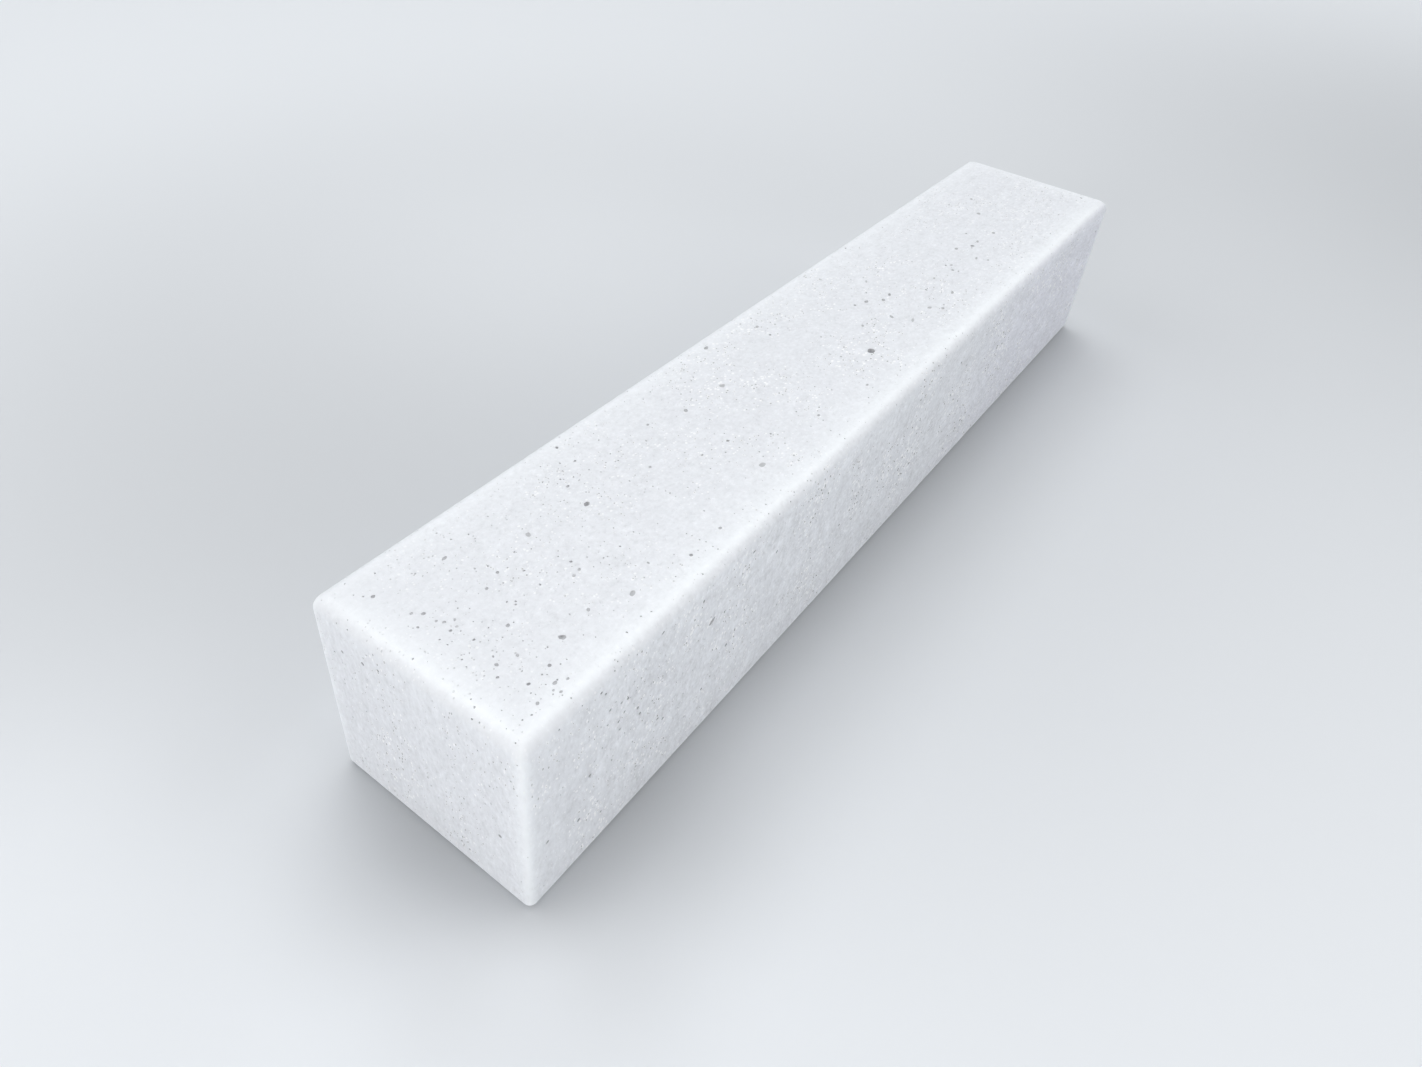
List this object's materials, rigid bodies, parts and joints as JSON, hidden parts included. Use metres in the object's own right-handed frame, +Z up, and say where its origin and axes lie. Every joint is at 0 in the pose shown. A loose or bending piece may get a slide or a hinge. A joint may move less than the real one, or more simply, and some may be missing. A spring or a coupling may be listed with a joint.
{
  "type": "concrete block",
  "caption": "Long solid cast concrete block of near-square section, with eased edges and a finely pitted pale surface.",
  "frame": {"origin": "middle of the underside, on the floor", "axes": "+X along the block to its far end, +Y towards its back long side, +Z up"},
  "size_m": [1, 0.182, 0.173],
  "materials": {
    "concrete": "matte, fine-grained cast face with small air voids"
  },
  "bodies": {
    "root": {"block": "concrete"}
  },
  "joints": []
}
